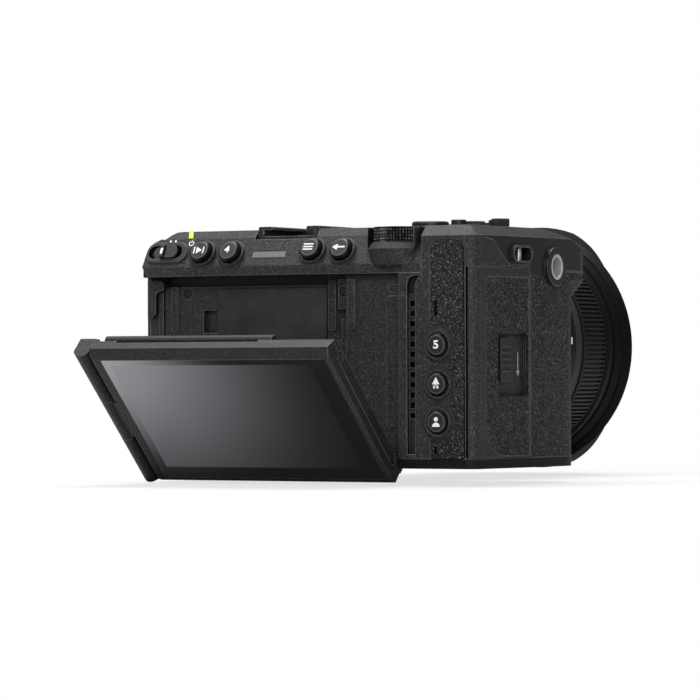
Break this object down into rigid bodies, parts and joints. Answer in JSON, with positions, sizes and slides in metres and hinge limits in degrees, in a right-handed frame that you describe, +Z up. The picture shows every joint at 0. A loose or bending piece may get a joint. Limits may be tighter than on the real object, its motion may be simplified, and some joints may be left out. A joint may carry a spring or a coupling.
{
  "type": "cinema camera",
  "caption": "Compact cinema camera with a grip, zoom lens and petal hood, and a screen that tilts out on a link plate and swings sideways.",
  "frame": {"origin": "mouth of the tripod thread in the base, under the lens axis", "axes": "+Z up, lens points to -Y, the screen is on the +Y side, the grip is on the -X side"},
  "size_m": [0.1295, 0.2182, 0.0857],
  "materials": {
    "black_shell": "fine-grained satin black",
    "leather": "pebbled black rubber",
    "gloss_black": "smooth gloss black",
    "label": "bare label plate",
    "button_black": "smooth black",
    "dial_black": "knurled black",
    "silver": "bare steel",
    "shoe_metal": "black with bright edges",
    "screw_black": "blackened steel",
    "window": "dark smoked window",
    "screen_glass": "black glass over a display",
    "lens_metal": "black anodised",
    "ring_rubber": "ribbed black rubber",
    "hood": "matte black",
    "lens_glass": "coated glass",
    "chassis_metal": "cast",
    "board": "circuit board",
    "inner_plastic": "plain"
  },
  "bodies": {
    "body": {"chassis": "chassis_metal", "front_shell": "black_shell", "rear_shell": "black_shell", "top_cover": "black_shell", "base_plate": "black_shell", "left_cover": "black_shell", "grip_shell": "black_shell", "grip_leather": "leather", "thumb_leather": "leather", "gloss_panel": "gloss_black", "recess_plate": "label", "body_screws": "screw_black", "mount_ring": "silver", "image_sensor": "board", "main_board": "board", "heat_sink": "chassis_metal", "fan_housing": "inner_plastic", "battery": "inner_plastic", "card_cage": "inner_plastic", "strap_bars": "silver", "thread_inserts": "silver", "accessory_shoe": "shoe_metal", "tally_window": "window", "tilt_pin": "silver", "port_sockets": "inner_plastic"},
    "card_door": {"card_door": "black_shell", "card_door_leather": "leather"},
    "tilt_link": {"link_plate": "black_shell"},
    "tilt_frame": {"tilt_frame": "black_shell"},
    "screen": {"swing_arm": "black_shell", "screen_case": "black_shell", "screen_glass": "screen_glass"},
    "lens": {"lens_barrel": "lens_metal", "lens_mount": "silver", "lens_glass": "lens_glass"},
    "fan_rotor": {"fan_rotor": "inner_plastic"},
    "battery_door": {"battery_door": "black_shell"},
    "battery_latch": {"battery_latch": "black_shell"},
    "card_latch": {"card_latch": "button_black"},
    "port_cover_front": {"port_cover_front": "black_shell"},
    "port_cover_rear": {"port_cover_rear": "black_shell"},
    "rear_dial": {"rear_dial": "dial_black"},
    "control_dial": {"control_dial": "dial_black"},
    "zoom_lever": {"zoom_lever": "button_black"},
    "clips_button": {"clips_button": "button_black"},
    "button_four": {"button_four": "button_black"},
    "menu_button": {"menu_button": "button_black"},
    "back_button": {"back_button": "button_black"},
    "button_five": {"button_five": "button_black"},
    "home_button": {"home_button": "button_black"},
    "user_button": {"user_button": "button_black"},
    "record_button": {"record_button": "button_black"},
    "top_button": {"top_button": "button_black"},
    "shutter_button": {"shutter_button": "button_black"},
    "lens_release": {"lens_release": "button_black"},
    "power_switch": {"power_switch": "button_black"},
    "aperture_ring": {"aperture_ring": "ring_rubber"},
    "zoom_ring": {"zoom_ring": "ring_rubber"},
    "focus_ring": {"focus_ring": "ring_rubber"},
    "lens_hood": {"lens_hood": "hood"}
  },
  "joints": [
    {"name": "tilt_link_hinge", "type": "hinge", "parent": "body", "child": "tilt_link", "pos_m": [0, 0.021, 0.002], "axis": [-1, 0, 0], "range_deg": [-45.4, 0]},
    {"name": "tilt_frame_hinge", "type": "hinge", "parent": "tilt_link", "child": "tilt_frame", "pos_m": [0, 0.06314, 0.03951], "axis": [1, 0, 0], "range_deg": [0, 98]},
    {"name": "screen_swing", "type": "hinge", "parent": "tilt_frame", "child": "screen", "pos_m": [0.048, 0.047, 0.01643], "axis": [0, -0.712, -0.7022], "range_deg": [0, 180]},
    {"name": "fan_spin", "type": "hinge", "parent": "body", "child": "fan_rotor", "pos_m": [-0.01, 0.004, 0.037], "axis": [0, 1, 0], "continuous": true},
    {"name": "battery_door_hinge", "type": "hinge", "parent": "body", "child": "battery_door", "pos_m": [-0.0555, 0.0012, 0.0012], "axis": [1, 0, 0], "range_deg": [0, 90]},
    {"name": "battery_latch_slide", "type": "slide", "parent": "battery_door", "child": "battery_latch", "axis": [1, 0, 0], "range_m": [0, 0.003]},
    {"name": "card_door_hinge", "type": "hinge", "parent": "body", "child": "card_door", "pos_m": [-0.0657, 0.02505, 0.0325], "axis": [0, 0, -1], "range_deg": [0, 90]},
    {"name": "card_latch_slide", "type": "slide", "parent": "card_door", "child": "card_latch", "axis": [0, 0, -1], "range_m": [0, 0.004]},
    {"name": "port_cover_front_hinge", "type": "hinge", "parent": "body", "child": "port_cover_front", "pos_m": [0.0561, -0.027, 0.035], "axis": [0, 0, -1], "range_deg": [0, 95]},
    {"name": "port_cover_rear_hinge", "type": "hinge", "parent": "body", "child": "port_cover_rear", "pos_m": [0.0561, -0.005, 0.035], "axis": [0, 0, -1], "range_deg": [0, 95]},
    {"name": "rear_dial_turn", "type": "hinge", "parent": "body", "child": "rear_dial", "pos_m": [-0.038, 0.02, 0.0725], "axis": [0, 0, 1], "continuous": true},
    {"name": "control_dial_turn", "type": "hinge", "parent": "body", "child": "control_dial", "pos_m": [-0.058, 0.008, 0.076], "axis": [0, 0, 1], "continuous": true},
    {"name": "zoom_lever_turn", "type": "hinge", "parent": "body", "child": "zoom_lever", "pos_m": [-0.0575, -0.004, 0.0757], "axis": [0, 0, 1], "range_deg": [-15, 15], "stiffness_Nm_per_rad": 0.01},
    {"name": "clips_button_press", "type": "slide", "parent": "body", "child": "clips_button", "axis": [0, 0.891, 0.454], "range_m": [-0.0005, 0], "stiffness_N_per_m": 600, "springref_m": 0.0005},
    {"name": "button_four_press", "type": "slide", "parent": "body", "child": "button_four", "axis": [0, 0.891, 0.454], "range_m": [-0.0005, 0], "stiffness_N_per_m": 600, "springref_m": 0.0005},
    {"name": "menu_button_press", "type": "slide", "parent": "body", "child": "menu_button", "axis": [0, 0.891, 0.454], "range_m": [-0.0005, 0], "stiffness_N_per_m": 600, "springref_m": 0.0005},
    {"name": "back_button_press", "type": "slide", "parent": "body", "child": "back_button", "axis": [0, 0.891, 0.454], "range_m": [-0.0005, 0], "stiffness_N_per_m": 600, "springref_m": 0.0005},
    {"name": "button_five_press", "type": "slide", "parent": "body", "child": "button_five", "axis": [0, 1, 0], "range_m": [-0.0005, 0], "stiffness_N_per_m": 600, "springref_m": 0.0005},
    {"name": "home_button_press", "type": "slide", "parent": "body", "child": "home_button", "axis": [0, 1, 0], "range_m": [-0.0005, 0], "stiffness_N_per_m": 600, "springref_m": 0.0005},
    {"name": "user_button_press", "type": "slide", "parent": "body", "child": "user_button", "axis": [0, 1, 0], "range_m": [-0.0005, 0], "stiffness_N_per_m": 600, "springref_m": 0.0005},
    {"name": "record_button_press", "type": "slide", "parent": "body", "child": "record_button", "axis": [0, 0, 1], "range_m": [-0.0005, 0], "stiffness_N_per_m": 600, "springref_m": 0.0005},
    {"name": "top_button_press", "type": "slide", "parent": "body", "child": "top_button", "axis": [0, 0, 1], "range_m": [-0.0005, 0], "stiffness_N_per_m": 600, "springref_m": 0.0005},
    {"name": "shutter_button_press", "type": "slide", "parent": "body", "child": "shutter_button", "axis": [0, 0, 1], "range_m": [-0.0005, 0], "stiffness_N_per_m": 600, "springref_m": 0.0005},
    {"name": "lens_release_press", "type": "slide", "parent": "body", "child": "lens_release", "axis": [0, -1, 0], "range_m": [-0.0015, 0], "stiffness_N_per_m": 600, "springref_m": 0.0015},
    {"name": "power_switch_slide", "type": "slide", "parent": "body", "child": "power_switch", "axis": [1, 0, 0], "range_m": [0, 0.0016]},
    {"name": "lens_lock_turn", "type": "hinge", "parent": "body", "child": "lens", "pos_m": [0, -0.0387, 0.0386], "axis": [0, -1, 0], "range_deg": [0, 60]},
    {"name": "aperture_turn", "type": "hinge", "parent": "lens", "child": "aperture_ring", "pos_m": [0, -0.052, 0.0386], "axis": [0, -1, 0], "range_deg": [-40, 40]},
    {"name": "zoom_turn", "type": "hinge", "parent": "lens", "child": "zoom_ring", "pos_m": [0, -0.086, 0.0386], "axis": [0, -1, 0], "range_deg": [-35, 35]},
    {"name": "focus_turn", "type": "hinge", "parent": "lens", "child": "focus_ring", "pos_m": [0, -0.118, 0.0386], "axis": [0, -1, 0], "continuous": true},
    {"name": "hood_turn", "type": "hinge", "parent": "lens", "child": "lens_hood", "pos_m": [0, -0.132, 0.0386], "axis": [0, -1, 0], "range_deg": [0, 40]}
  ]
}
